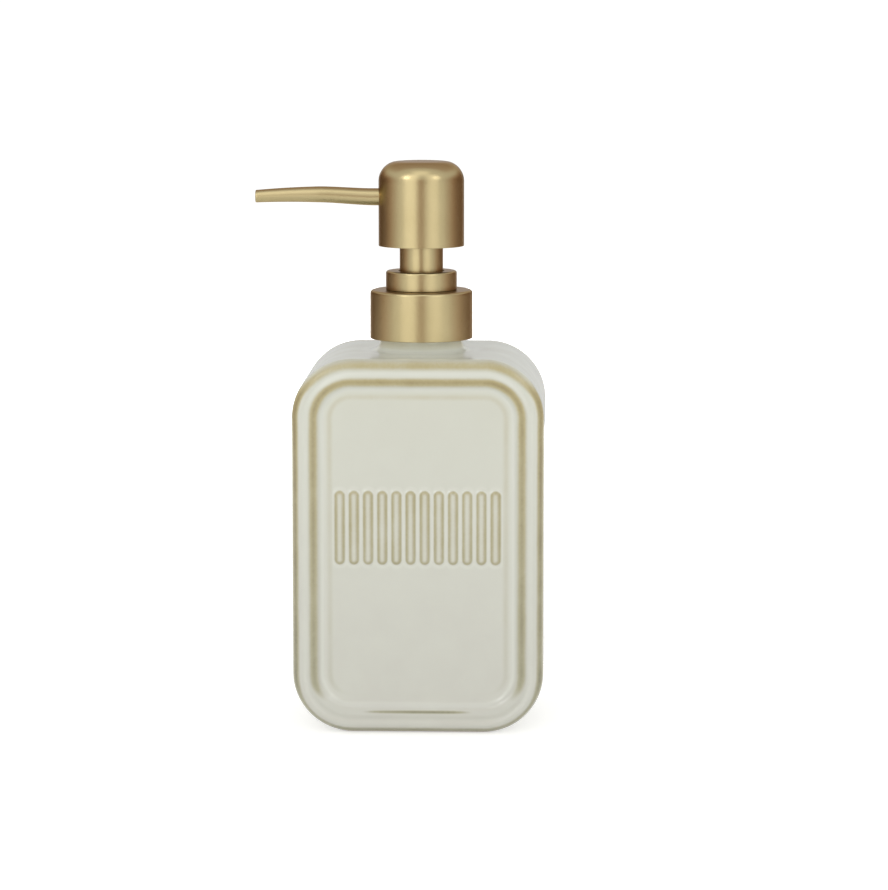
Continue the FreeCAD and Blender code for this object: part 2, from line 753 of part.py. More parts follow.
def actuator_core():
    """Moulded core of the head: hub on the stem, outlet valve chamber, nozzle socket, ribs and web."""
    body = turned_part("actuator_core", [
        ("stem_outer / 2", "sleeve_low"),
        ("hub_outer / 2", "sleeve_low"),
        ("hub_outer / 2", "web_low"),
        ("head_bore / 2", "web_low"),
        ("head_bore / 2", "core_top"),
        (AXIS, "core_top"),
        (AXIS, "nozzle_axis"),
        ("outlet_bore / 2", "nozzle_axis"),
        ("outlet_bore / 2", "outlet_stop"),
        ("outlet_chamber / 2", "outlet_stop"),
        ("outlet_chamber / 2", "stem_top"),
        ("stem_outer / 2", "stem_top"),
    ])
    rib = new_sketch(body, "RibOutline", "XY_Plane", "rib_low")
    rib_reach = "sqrt((head_bore / 2 - fit_gap)^2 - (rib_width / 2)^2)"
    draw_outline(rib, [
        ("stem_outer / 2 + fit_gap", "-rib_width / 2"),
        (rib_reach, "-rib_width / 2"),
        (rib_reach, "rib_width / 2"),
        ("stem_outer / 2 + fit_gap", "rib_width / 2"),
    ])
    add_pattern(body, "Ribs", add_straight(body, "Rib", rib, "web_low - rib_low"), "rib_count")
    boss = new_sketch(body, "BossOutline", "YZ_Plane", "-(stem_outer / 2 + fit_gap)")
    draw_circle(boss, AXIS, "nozzle_axis", "boss_outer")
    boss_reach = "sqrt((head_bore / 2 - fit_gap)^2 - (boss_outer / 2)^2)"
    add_straight(body, "Boss", boss, f"{boss_reach} - stem_outer / 2 - fit_gap", backwards=True)
    socket = new_sketch(body, "SocketOutline", "YZ_Plane", "nozzle_seat - head_outer / 2")
    draw_circle(socket, AXIS, "nozzle_axis", "nozzle_root")
    add_straight(body, "Socket", socket, "nozzle_seat", cut=True)
    channel = new_sketch(body, "ChannelOutline", "YZ_Plane")
    draw_circle(channel, AXIS, "nozzle_axis", "channel_bore")
    add_straight(body, "Channel", channel, "head_outer / 2", cut=True)
    slot = new_sketch(body, "SlotOutline", "XY_Plane", "outlet_stop")
    draw_rounded_rectangle(slot, "outlet_chamber / 2", "-outlet_slot_width / 2", "outlet_slot_width / 2",
                           "outlet_slot_width / 4")
    add_straight(body, "BallSlot", slot, "outlet_slot_height", cut=True, backwards=True)
    return body


def stem_sleeve():
    """Metal sleeve over the hub, the part of the stem that shows under the head."""
    return turned_part("stem_sleeve", tube_outline("hub_outer", "sleeve_outer", "sleeve_low", "rib_low"))


def head_shell():
    """Drawn metal head: a cup with a crowned top and a round shoulder, pierced for the nozzle."""
    body = new_body("head_shell")
    cup = add_turned(body, "Cup", [
        ("head_bore / 2", "head_low"),
        ("head_outer / 2", "head_low"),
        ("head_outer / 2", "head_shoulder", "crown"),
        (AXIS, "head_top"),
        (AXIS, "head_top - sheet_metal", "crown"),
        ("head_bore / 2", "head_shoulder - sheet_metal"),
    ])
    outside = add_fillet(body, "Shoulder", cup, "head_round", ring_edge("head_outer", "head_shoulder"))
    add_fillet(body, "InnerShoulder", outside, "head_round - sheet_metal",
               ring_edge("head_bore", "head_shoulder - sheet_metal"))
    hole = new_sketch(body, "HoleOutline", "YZ_Plane")
    draw_circle(hole, AXIS, "nozzle_axis", "nozzle_root + 2 * nozzle_hole_gap")
    add_straight(body, "NozzleHole", hole, "head_outer", cut=True)
    return body


def nozzle_tube():
    """Nozzle: a straight root in the core's socket, then a tapered tube with a slight arch."""
    body = new_body("nozzle_tube")
    bend = "head_outer / 2 + nozzle_collar_gap"
    stations = [
        (bend, "nozzle_axis", "nozzle_root"),
        ("nozzle_hump_reach - nozzle_hump_span / 2", "nozzle_axis + nozzle_hump_rise", "nozzle_hump_outer"),
        ("nozzle_hump_reach + nozzle_hump_span / 2", "nozzle_axis + nozzle_hump_rise", "nozzle_hump_outer"),
        ("nozzle_reach", "nozzle_axis + nozzle_hump_rise - nozzle_tip_drop", "nozzle_tip_outer"),
    ]
    root = new_sketch(body, "RootOutline", "YZ_Plane", "nozzle_seat - head_outer / 2")
    draw_circle(root, AXIS, "nozzle_axis", "nozzle_root")
    add_straight(body, "Root", root, "nozzle_seat + nozzle_collar_gap", backwards=True)
    for name, kind, wall in (("Outside", "Additive", AXIS), ("Bore", "Subtractive", "nozzle_wall")):
        rings = []
        for index, (reach, height, diameter) in enumerate(stations):
            ring = new_sketch(body, f"{name}Ring{index}", "YZ_Plane", f"-({reach})")
            draw_circle(ring, AXIS, height, f"{diameter} - 2 * {wall}")
            rings.append(ring)
        loft = body.newObject(f"PartDesign::{kind}Loft", name)
        loft.Profile = rings[0]
        loft.Sections = rings[1:]
    inlet = new_sketch(body, "InletOutline", "YZ_Plane", f"-({bend})")
    draw_circle(inlet, AXIS, "nozzle_axis", "nozzle_root - 2 * nozzle_wall")
    add_straight(body, "Inlet", inlet, "nozzle_seat + nozzle_collar_gap", cut=True, backwards=True)
    return body


PARTS = [
    bottle_body(),
    neck_thread_ring(),
    neck_gasket(),
    pump_housing(),
    chaplet(),
    drawn_cup("chaplet_cover", "cover_hole", "chaplet_outer", "cover_outer",
              "chaplet_low", "chaplet_top", "cover_top", "ring_round"),
    screw_cap(),
    drawn_cup("collar_shell", "cap_hole", "cap_outer", "collar_outer",
              "collar_low", "cap_top", "collar_top", "collar_round"),
    piston(),
    piston_retainer(),
    stem(),
    return_spring(),
    valve_ball("inlet_ball", "inlet_ball", "inlet_center"),
    valve_ball("outlet_ball", "outlet_ball", "outlet_center"),
    dip_tube(),
    actuator_core(),
    stem_sleeve(),
    head_shell(),
    nozzle_tube(),
]
doc.recompute()

CUTS = [f"PartDesign::{kind}" for kind in ("Pocket", "Groove", "SubtractivePipe", "SubtractiveLoft")]
for thing in doc.Objects:
    if "Invalid" in thing.State or "Error" in thing.State:
        raise RuntimeError(f"{thing.Label} failed: {thing.State}")
    if thing.TypeId in CUTS and thing.Shape.Volume > thing.BaseFeature.Shape.Volume - TOLERANCE:
        raise RuntimeError(f"{thing.Label} cuts nothing")
for part in PARTS:
    if part.Shape.isNull() or not part.Shape.isValid() or len(part.Shape.Solids) != 1:
        raise RuntimeError(f"{part.Label} is not one sound solid")

os.makedirs("parts", exist_ok=True)
for part in PARTS:
    part.Shape.exportStep(f"parts/{part.Label}.step")
    box = part.Shape.BoundBox
    print(f"{part.Label}: {part.Shape.Volume:.1f} mm3, z {box.ZMin:.2f} to {box.ZMax:.2f}")
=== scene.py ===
"""Looks of a countertop detergent dispenser: a glazed stoneware bottle with a satin gold pump.

The script follows the object as it is put together: the bottle, the ring in its neck, the pump that hangs
in it, the cap and collar, the head, and then the studio. Lengths are metres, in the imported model's frame.
"""

import bmesh
import bpy
import numpy as np
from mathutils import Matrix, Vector


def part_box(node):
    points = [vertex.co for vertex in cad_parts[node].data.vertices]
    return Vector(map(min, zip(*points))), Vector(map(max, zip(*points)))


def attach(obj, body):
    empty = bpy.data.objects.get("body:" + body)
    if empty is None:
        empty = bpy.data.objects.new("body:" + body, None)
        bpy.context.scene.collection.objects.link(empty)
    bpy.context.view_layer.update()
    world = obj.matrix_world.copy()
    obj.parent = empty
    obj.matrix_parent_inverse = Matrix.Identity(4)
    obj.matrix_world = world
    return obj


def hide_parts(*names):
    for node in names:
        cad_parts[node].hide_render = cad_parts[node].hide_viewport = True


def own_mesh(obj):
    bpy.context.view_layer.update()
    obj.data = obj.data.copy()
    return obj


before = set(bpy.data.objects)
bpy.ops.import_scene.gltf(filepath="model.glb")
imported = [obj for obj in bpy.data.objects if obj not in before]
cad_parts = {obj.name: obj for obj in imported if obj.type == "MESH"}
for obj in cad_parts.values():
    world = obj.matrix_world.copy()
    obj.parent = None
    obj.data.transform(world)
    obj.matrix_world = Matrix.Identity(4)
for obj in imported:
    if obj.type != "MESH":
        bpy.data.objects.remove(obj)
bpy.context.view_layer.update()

# Stoneware bottle, slip-cast in a two-part mould: a rounded block with a moulded frame and a sunk panel
# on its two broad faces, hollow, with a short flared neck. It was dipped in a pale grey-green glaze, which
# runs thin and tan over edges and pools white in hollows, and its foot was wiped bare.
mm = 0.001
bottle_side, bottle_front, neck_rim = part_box("bottle_body")[1]
neck_height = 6.0 * mm
shoulder_height = neck_rim - neck_height
corner_radius = 19.0 * mm
edge_radius = 3.5 * mm
bottle_wall = 4.5 * mm
bottle_floor = 6.0 * mm
cavity_edge_radius = 7.0 * mm
neck_outer = 13.25 * mm
neck_bore = 10.5 * mm
neck_flare = 3.4 * mm
rim_round = 0.8 * mm
touching = 0.001 * mm


def smooth_step(x):
    """0 below 0, 1 above 1, and 3 x^2 - 2 x^3 between."""
    x = np.clip(x, 0, 1)
    return x * x * (3 - 2 * x)


def bell(x, center, width):
    """A bell curve: exp(-((x - center) / width)^2)."""
    return np.exp(-((x - center) / width) ** 2)


def grid_of(x, y, z):
    """Grid of points from arrays of their coordinates, or from numbers where these are constant."""
    return np.stack(np.broadcast_arrays(x, y, z), -1)


def rounded_rows(across, turns, rises, half, low, high, radius):
    """Grid of a rounded rectangle, X and Z of its points, row by row from its bottom edge up.

    The rectangle is an inner one, of half width `half` from `low` to `high`, grown by `radius`. In the
    bottom corners the rows end at x = half + radius sin t, z = low - radius cos t for t from 0 to 90
    degrees, then the sides are straight, and the top corners mirror the bottom ones.
    """
    bulge = radius * np.sin(turns)
    drop = radius * np.cos(turns)
    width = half + np.concatenate([bulge, np.full(len(rises), radius), bulge[::-1]])
    height = np.concatenate([low - drop, low + rises * (high - low), high + drop[::-1]])
    return np.broadcast_arrays(width[:, None] * across, height[:, None])


def border_of(grid):
    """The closed loop of points round a grid: its first row, last column, last row and first column."""
    return np.concatenate([grid[0], grid[1:, -1], grid[-1, -2::-1], grid[-2::-1, 0]])


def rounded_block(across, turns, rises, steps, core, inset, depth):
    """Grids of a block with a rounded outline in X and Z and moulded edges, without its top.

    Ring k of the front is the outline drawn in by inset[k], at the distance depth[k] in front of the axis:
    an inner rectangle grown by the corner radius less the inset. A panel fills the last ring. The band
    runs from front to back down the left side, under the foot and up the right side.
    Returns the rings, the panel, the band and the closed border of the top that is left open.
    """
    half, low, high, radius = core
    rings = []
    for size, front in zip(radius - inset, depth):
        x, z = rounded_rows(across, turns, rises, half, low, high, size)
        panel = grid_of(x, -front, z)
        rings.append(border_of(panel))
    loop = rings[0]
    right = panel.shape[0] + panel.shape[1] - 2
    left = right + len(across) - 1
    stretch = grid_of(1, -steps, 1)[:, None]
    band = np.concatenate([loop[left:], loop[1:right + 1]]) * stretch
    top = loop[right:left + 1] * stretch
    return np.stack(rings), panel, band, border_of(top)


def turned_back(grid):
    """The same grid on the back: turned half way round the Z axis."""
    return grid * np.array([-1, -1, 1])


def rounded_outline(corners, steps=6):
    """Points along straight runs whose corners, given as (across, up, rounding), are cut by arcs.

    Where a run of direction a turns by an angle w to direction b, the arc of radius r leaves the run at
    r tan(w / 2) from the corner and follows start + r (a sin t + n (1 - cos t)) for t from 0 to w, with n
    square to a on the inside of the turn. A point close to each end of an arc keeps the runs flat.
    """
    spots = np.array([corner[:2] for corner in corners])
    points = [spots[:1]]
    for before, spot, after, corner in zip(spots, spots[1:], spots[2:], corners[1:]):
        a = (spot - before) / np.linalg.norm(spot - before)
        b = (after - spot) / np.linalg.norm(after - spot)
        cross = a[0] * b[1] - a[1] * b[0]
        n = np.sign(cross) * np.array([-a[1], a[0]])
        w = np.arctan2(abs(cross), a @ b)
        t = np.linspace(0, w, steps + 1)[:, None]
        arc = spot - a * corner[2] * np.tan(w / 2) + corner[2] * (a * np.sin(t) + n * (1 - np.cos(t)))
        guard = 0.15 * corner[2]
        points += [arc[:1] - a * guard, arc, arc[-1:] + b * guard]
    return np.concatenate(points + [spots[-1:]])


# Section of the moulded frame, from the side inwards: a rounded edge, a round valley, a ridge and the
# step down to the panel.
panel_inset = 11.5 * mm
panel_depth = 1.4 * mm
valley_inset = 4.2 * mm
valley_depth = 0.6 * mm
valley_width = 1.15 * mm
step_start, step_end = 7.7 * mm, 10.3 * mm
edge_turn = np.linspace(0, np.pi / 2, 11)
flat_inset = np.linspace(edge_radius, panel_inset, 24)[1:]
frame_inset = np.append(edge_radius * (1 - np.cos(edge_turn)), flat_inset)
edge_fall = np.append(edge_radius * (1 - np.sin(edge_turn)), np.zeros_like(flat_inset))
frame_depth = (bottle_front - edge_fall - valley_depth * bell(frame_inset, valley_inset, valley_width)
               - panel_depth * smooth_step((frame_inset - step_start) / (step_end - step_start)))

# The front panel carries a plain reeded band: upright ribs side by side, with rounded edges and ends.
band_center = 66.2 * mm
band_height = 25.0 * mm
reed_count = 12
reed_pitch = 4.5 * mm
reed_rise = 0.9 * mm
reed_flank = 0.75
reed_points = 9
off_band = 2.0


def reed_offset(x, z):
    """Distance from the nearest reed's spine as a share of its half width, or off_band beside the band."""
    place = x / reed_pitch + reed_count / 2
    beside = (place - np.floor(place) - 0.5) * reed_pitch
    beyond = np.maximum(np.abs(z - band_center) - (band_height - reed_pitch) / 2, 0)
    share = np.hypot(beside, beyond) / (reed_pitch / 2)
    return np.where((place > 0) & (place < reed_count), share, off_band)


# Columns follow the reeds, and rows crowd where the reeds' ends are rounded.
panel_half = bottle_side - panel_inset
across = np.linspace(-1, 1, round(2 * panel_half / reed_pitch * reed_points) + 1)
steps = np.linspace(-1, 1, 33)
core = (bottle_side - corner_radius, corner_radius, shoulder_height - corner_radius, corner_radius)
band_low, band_high = ((band_center + side * band_height / 2 - core[1]) / (core[2] - core[1])
                       for side in (-1, 1))
rises = np.unique(np.concatenate([
    np.linspace(0, 1, 26)[1:-1],
    np.linspace(band_low - 0.01, band_low + 0.04, 10),
    np.linspace(band_high - 0.04, band_high + 0.01, 10),
]))
rings, panel, side_band, top_border = rounded_block(
    across, np.linspace(0, np.pi / 2, 32), rises, steps, core, frame_inset, frame_depth)
offset = reed_offset(panel[..., 0], panel[..., 2])
reeded_panel = panel.copy()
reeded_panel[..., 1] -= reed_rise * smooth_step((1 - offset) / reed_flank)

# The foot is a rim round a shallow recess.
foot_rim = 4.0 * mm
foot_recess = 1.2 * mm
foot_slope = 2 * mm
foot_reach = np.minimum(core[0] - foot_rim - np.abs(side_band[..., 0]),
                        frame_depth[0] - foot_rim - np.abs(side_band[..., 1]))
under = side_band[..., 2] < touching
side_band[..., 2] += np.where(under, foot_recess * smooth_step(foot_reach / foot_slope + 0.5), 0)

# The cavity is a plain rounded block, and the neck's lip and bore join it to the outside.
cavity_radius = corner_radius - bottle_wall
cavity_core = (core[0], bottle_floor + cavity_radius, shoulder_height - bottle_wall - cavity_radius,
               cavity_radius)
cavity_front = bottle_front - bottle_wall - panel_depth
cavity_turn = np.linspace(0, np.pi / 2, 7)
cavity_rings, cavity_panel, cavity_band, cavity_border = rounded_block(
    across, np.linspace(0, np.pi / 2, 6), np.linspace(0, 1, 7)[1:-1], steps, cavity_core,
    cavity_edge_radius * (1 - np.cos(cavity_turn)),
    cavity_front - cavity_edge_radius * (1 - np.sin(cavity_turn)))
lip = rounded_outline([
    (neck_outer + 1.5 * neck_flare, shoulder_height, 0),
    (neck_outer, shoulder_height, neck_flare),
    (neck_outer, neck_rim, rim_round),
    (neck_bore, neck_rim, rim_round / 2),
    (neck_bore, shoulder_height - bottle_wall, 0),
], steps=5)
outer_bearing, inner_bearing = (np.unwrap(np.arctan2(border[:, 1], border[:, 0]))
                                for border in (top_border, cavity_border))
share = np.linspace(0, 1, len(lip))[:, None]
bearing = outer_bearing + share * (inner_bearing - outer_bearing)
lip_radius, lip_height = lip[:, :1], lip[:, 1:]
neck = grid_of(lip_radius * np.cos(bearing), lip_radius * np.sin(bearing), lip_height)
spread = np.linspace(0, 1, 13)[:, None, None]
top_face = top_border + spread * (neck[0] - top_border)
ceiling = neck[-1] + spread[::3] * (cavity_border - neck[-1])


def frame_glaze(inset, x, z):
    """Glaze thinness with painted shade, and pooling, over the frame: bell curves of the distance from the
    side.

    The outer edge is thinly glazed, less but more broadly so along the top. The inner ridge is too, but
    fades towards the foot, where a fine line is left in the middle. A faint band of painted shade, added
    to the thinness, follows the panel's border in the crease at the foot of the step.
    The valley and the foot of the step hold pools. Places and widths shift a little along the top run,
    where `top` is 1, and along the foot run, where `bottom` is 1.
    """
    top = smooth_step((z - 106 * mm) / (10 * mm))
    bottom = smooth_step((17 * mm - z) / (9 * mm))
    edge_place = (1.0 + 0.9 * top) * mm
    edge_width = (1.1 + 0.6 * top - 0.4 * bottom) * mm
    edge = (0.95 - 0.36 * top - 0.28 * bottom) * bell(inset, edge_place, edge_width)
    ridge = 0.8 * bell(inset, (6.9 + 0.5 * top) * mm, 1.5 * mm) * (1 - bottom)
    line = 0.95 * bell(inset, 6.9 * mm, 0.5 * mm) * bottom * np.exp(-(x / (16 * mm)) ** 6)
    # Painted shade: a faint tan band in the crease where the step meets the panel.
    crease_shade = 0.28 * bell(inset, (12.0 + 0.8 * top) * mm, (1.4 + 0.8 * top) * mm) * (1 - bottom)
    valley_pool = (0.4 + 0.5 * top) * bell(inset, (4.0 + 0.6 * top) * mm, 0.9 * mm)
    step_pool = bell(inset, 9.6 * mm, 0.6 * mm)
    return edge + ridge + line + crease_shade, (valley_pool + step_pool) * (1 - 0.85 * bottom)


def panel_insets(grid):
    """Distance of a panel's points from the side: the corner radius less the way out of the core."""
    half, low, high, radius = core
    x, z = np.abs(grid[..., 0]), grid[..., 2]
    beside = np.maximum(x - half, 0)
    beyond = np.maximum(np.maximum(low - z, z - high), 0)
    return radius - np.hypot(beside, beyond)


# The bottle's surfaces, each with its points' distances from the side. Where the frame is out of reach,
# the distance is a large one outwards.
off_frame = -10 * mm
glazed = {
    "front frame": (rings, frame_inset[:, None]),
    "front panel": (reeded_panel, panel_insets(panel)),
    "back frame": (turned_back(rings), frame_inset[:, None]),
    "back panel": (turned_back(panel), panel_insets(panel)),
    "sides and foot": (side_band, np.abs(side_band[..., 1]) - frame_depth[0]),
    "top": (top_face, np.abs(top_face[..., 1]) - frame_depth[0]),
    "neck": (neck, off_frame),
    "cavity front edge": (cavity_rings, off_frame),
    "cavity front": (cavity_panel, off_frame),
    "cavity back edge": (turned_back(cavity_rings), off_frame),
    "cavity back": (turned_back(cavity_panel), off_frame),
    "cavity sides": (cavity_band, off_frame),
    "ceiling": (ceiling, off_frame),
}

# How the glaze lies, as attributes: thin over edges, deep in pools, wiped raw under the foot, and the
# offset from the reeds' spines. The thinness mark also carries painted shade, and the pooling mark painted
# light. On the top face it is painted whiter towards the neck, and at the neck's foot, partly glaze pooled
# in the flare and partly painted light that lifts the shade under the collar. Up the neck it turns tan,
# partly thinner glaze and partly painted shade under the collar, and thinner still at the rim.
wiped_height, wiped_blend = 0.5 * mm, 0.3 * mm
climb_height = 2 * mm
marks = {mark: {} for mark in ("thinness_and_shade", "pool_and_painted_light", "raw", "reed")}
for name, (grid, inset) in glazed.items():
    x, z = grid[..., 0], grid[..., 2]
    thinness_and_shade, pool_and_painted_light = frame_glaze(inset, x, z)
    marks["thinness_and_shade"][name] = thinness_and_shade + np.zeros_like(x)
    marks["pool_and_painted_light"][name] = pool_and_painted_light + np.zeros_like(x)
    marks["raw"][name] = smooth_step((wiped_height - z) / wiped_blend)
    marks["reed"][name] = np.full_like(x, off_band)
marks["reed"]["front panel"] = offset
# Painted light: the top face whitens towards the neck, lifting the shade under the collar.
marks["pool_and_painted_light"]["top"] += 0.8 * spread[..., 0] ** 2
climb = smooth_step((lip_height - shoulder_height) / climb_height)
near_rim = smooth_step((lip_height - neck_rim + climb_height) / climb_height)
# Painted shade on the neck: tan under the collar on top of glaze that thins at the rim, and whiter at its
# foot, partly glaze pooled in the flare.
marks["thinness_and_shade"]["neck"] += 0.3 * climb + 0.4 * near_rim
marks["pool_and_painted_light"]["neck"] += 0.8 * (1 - climb)


def linear(code):
    """Turn an sRGB hex colour into linear red, green and blue, with an alpha of 1."""
    share = np.array([int(code[i:i + 2], 16) for i in (0, 2, 4)]) / 255
    return (*np.where(share <= 0.04045, share / 12.92, ((share + 0.055) / 1.055) ** 2.4), 1.0)


def add_node(material, kind, inputs, **settings):
    """Add one shader node. Each input, by its name or number, is a constant or another node's output."""
    node = material.node_tree.nodes.new(kind)
    for name, setting in settings.items():
        setattr(node, name, setting)
    for socket, source in inputs.items():
        if isinstance(source, bpy.types.NodeSocket):
            material.node_tree.links.new(source, node.inputs[socket])
        else:
            node.inputs[socket].default_value = source
    return node


def new_material(name):
    """An empty material with nodes, and the Object coordinates that its patterns read."""
    material = bpy.data.materials.new(name)
    material.use_nodes = True
    material.node_tree.nodes.clear()
    return material, add_node(material, "ShaderNodeTexCoord", {}).outputs["Object"]


# Reactive glaze on stoneware: a glassy coat, so smooth and glossy with a faint ripple. Its colour breaks
# where it is thin, in patches about 9 mm wide and specks under 1 mm, and is greyer towards the foot.
# Its tan and brown breaks turn darker and olive towards the foot, partly as painted shade there, and
# the breaks also show the painted shade in the frame's crease and on the neck.
patch_size, speck_size, wave_size = 9 * mm, 0.9 * mm, 12 * mm
glaze, place = new_material("glazed stoneware")
patches = add_node(glaze, "ShaderNodeTexNoise", {
    "Vector": place, "Scale": 1 / patch_size, "Detail": 4.0}).outputs["Fac"]
specks = add_node(glaze, "ShaderNodeTexNoise", {
    "Vector": place, "Scale": 1 / speck_size, "Detail": 2.0}).outputs["Fac"]
thinness_and_shade, pool_and_painted_light, raw, reed = (add_node(glaze, "ShaderNodeAttribute", {}, attribute_name=name).outputs["Fac"]
                         for name in ("thinness_and_shade", "pool_and_painted_light", "raw", "reed"))
height = add_node(glaze, "ShaderNodeSeparateXYZ", {"Vector": place}).outputs["Z"]
high = add_node(glaze, "ShaderNodeMapRange", {
    "Value": height, "From Min": 0.0, "From Max": shoulder_height}).outputs["Result"]
coat = add_node(glaze, "ShaderNodeMix", {
    0: high, 6: linear("D2D1C7"), 7: linear("DCDDCF")}, data_type="RGBA").outputs[2]
cloud = add_node(glaze, "ShaderNodeMapRange", {
    "Value": patches, "From Min": 0.35, "From Max": 0.7, "To Max": 0.22}).outputs["Result"]
coat = add_node(glaze, "ShaderNodeMix", {
    0: cloud, 6: coat, 7: linear("DEE0D3")}, data_type="RGBA").outputs[2]
groove = add_node(glaze, "ShaderNodeMapRange", {
    "Value": reed, "From Min": 1.5, "From Max": 1.0, "To Max": 0.5},
    interpolation_type="SMOOTHSTEP").outputs["Result"]
pool_and_painted_light = add_node(glaze, "ShaderNodeMath", {0: pool_and_painted_light, 1: groove}, operation="ADD").outputs[0]
coat = add_node(glaze, "ShaderNodeMix", {
    0: pool_and_painted_light, 6: coat, 7: linear("E4E5DA")}, data_type="RGBA", clamp_factor=True).outputs[2]
on_reed = add_node(glaze, "ShaderNodeMapRange", {
    "Value": reed, "From Min": 0.95, "From Max": 0.55, "To Max": 0.62},
    interpolation_type="SMOOTHSTEP").outputs["Result"]
off_spine = add_node(glaze, "ShaderNodeMapRange", {
    "Value": reed, "From Max": 0.6, "To Min": 0.4}, interpolation_type="SMOOTHSTEP").outputs["Result"]
thinness_and_shade = add_node(glaze, "ShaderNodeMath", {
    0: on_reed, 1: off_spine, 2: thinness_and_shade}, operation="MULTIPLY_ADD").outputs[0]
break_and_shade = add_node(glaze, "ShaderNodeMath", {
    0: patches, 1: 0.7, 2: 0.65}, operation="MULTIPLY_ADD").outputs[0]
break_and_shade = add_node(glaze, "ShaderNodeMath", {
    0: specks, 1: 0.25, 2: break_and_shade}, operation="MULTIPLY_ADD").outputs[0]
break_and_shade = add_node(glaze, "ShaderNodeMath", {0: break_and_shade, 1: thinness_and_shade}, operation="MULTIPLY").outputs[0]
tan = add_node(glaze, "ShaderNodeMapRange", {
    "Value": break_and_shade, "From Min": 0.1, "From Max": 0.75}, interpolation_type="SMOOTHSTEP").outputs["Result"]
brown = add_node(glaze, "ShaderNodeMapRange", {
    "Value": break_and_shade, "From Min": 0.6, "From Max": 1.3}, interpolation_type="SMOOTHSTEP").outputs["Result"]
# Partly painted shade: low on the bottle the tan and brown tones are darker and olive.
for amount, low_tone, high_tone in ((tan, "B1AE96", "BFB387"), (brown, "8A8972", "97865C")):
    tone = add_node(glaze, "ShaderNodeMix", {
        0: high, 6: linear(low_tone), 7: linear(high_tone)}, data_type="RGBA").outputs[2]
    coat = add_node(glaze, "ShaderNodeMix", {
        0: amount, 6: coat, 7: tone}, data_type="RGBA").outputs[2]
coat = add_node(glaze, "ShaderNodeMix", {
    0: raw, 6: coat, 7: linear("CDBFA8")}, data_type="RGBA").outputs[2]
dull = add_node(glaze, "ShaderNodeMath", {
    0: patches, 1: 0.06, 2: 0.12}, operation="MULTIPLY_ADD").outputs[0]
dull = add_node(glaze, "ShaderNodeMath", {0: raw, 1: 0.6, 2: dull}, operation="MULTIPLY_ADD").outputs[0]
waves = add_node(glaze, "ShaderNodeTexNoise", {
    "Vector": place, "Scale": 1 / wave_size, "Detail": 0.0}).outputs["Fac"]
ripple = add_node(glaze, "ShaderNodeBump", {
    "Height": waves, "Strength": 0.2, "Distance": 0.4 * mm}).outputs["Normal"]
shine = add_node(glaze, "ShaderNodeBsdfPrincipled", {
    "Base Color": coat, "Roughness": dull, "IOR": 1.52, "Normal": ripple}).outputs["BSDF"]
add_node(glaze, "ShaderNodeOutputMaterial", {"Surface": shine})


def new_mesh(name, grids, material, marks):
    """Mesh of grids of points, each (rows, columns, 3), in which four neighbours make a quad.

    marks names attributes, with one array of numbers for each grid.
    """
    quads = []
    first = 0
    for rows, columns in (grid.shape[:2] for grid in grids):
        corner = (first + np.arange(rows - 1)[:, None] * columns + np.arange(columns - 1)).ravel()
        quads.append(np.stack([corner, corner + 1, corner + columns + 1, corner + columns], 1))
        first += rows * columns
    mesh = bpy.data.meshes.new(name)
    mesh.from_pydata(np.concatenate([grid.reshape(-1, 3) for grid in grids]), [], np.concatenate(quads))
    for mark, values in marks.items():
        attribute = mesh.attributes.new(mark, "FLOAT", "POINT")
        attribute.data.foreach_set("value", np.concatenate([value.ravel() for value in values]))
    mesh.materials.append(material)
    return mesh


def new_piece(name, grids, material, body, marks=None):
    """Join grids into one closed smooth piece that rides on a body in place of a CAD node.

    Points that coincide are merged, which closes seams and poles, and the faces are turned outwards.
    """
    mesh = new_mesh(name, grids, material, marks or {})
    work = bmesh.new()
    work.from_mesh(mesh)
    bmesh.ops.remove_doubles(work, verts=work.verts, dist=touching)
    bmesh.ops.recalc_face_normals(work, faces=work.faces)
    work.to_mesh(mesh)
    work.free()
    mesh.polygons.foreach_set("use_smooth", np.ones(len(mesh.polygons), bool))
    piece = bpy.data.objects.new(name + "_finish", mesh)
    bpy.context.scene.collection.objects.link(piece)
    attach(piece, body)
    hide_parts(name)
    return piece


new_piece("bottle_body", [grid for grid, inset in glazed.values()], glaze, "bottle",
          {mark: by_surface.values() for mark, by_surface in marks.items()})

# Threaded ring, moulded in white polypropylene and cemented into the neck. One coarse ridge winds round
# it for the cap.
ring_low, ring_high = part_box("neck_thread_ring")
ring_bore = 9.35 * mm
spigot_outer = 10.45 * mm
thread_outer = ring_high.x
thread_lead_in = 0.6 * mm
thread_pitch = 3.2 * mm
thread_depth = 0.8 * mm
thread_ridge = 0.24


def turned(outline, columns=144):
    """Grid of an outline of (radius, height) points turned round the Z axis: (r cos a, r sin a, z)."""
    angle = np.linspace(0, 2 * np.pi, columns + 1)
    radius, height = outline[:, :1], outline[:, 1:]
    return grid_of(radius * np.cos(angle), radius * np.sin(angle), height)


def threaded(radius, low, high, side):
    """Cylinder from `low` to `high`, cut back between the turns of a helical ridge.

    The ridge's phase is z / pitch less the share of a turn. Away from the ridge a point moves by the
    thread's depth towards the material, inwards for side -1 and outwards for side 1, and the cut fades
    over a millimetre at both ends.
    """
    rows = np.linspace(low, high, 60)
    grid = turned(np.stack([np.full_like(rows, radius), rows], -1))
    turn = np.linspace(0, 1, grid.shape[1])
    phase = (rows[:, None] - low) / thread_pitch - turn
    ridge = bell(np.abs(phase - np.round(phase)), 0, thread_ridge)
    fade = smooth_step((rows - low) / mm)[:, None] * smooth_step((high - rows) / mm)[:, None]
    scale = 1 + side * thread_depth * (1 - ridge) * fade / radius
    return grid * grid_of(scale, scale, 1)


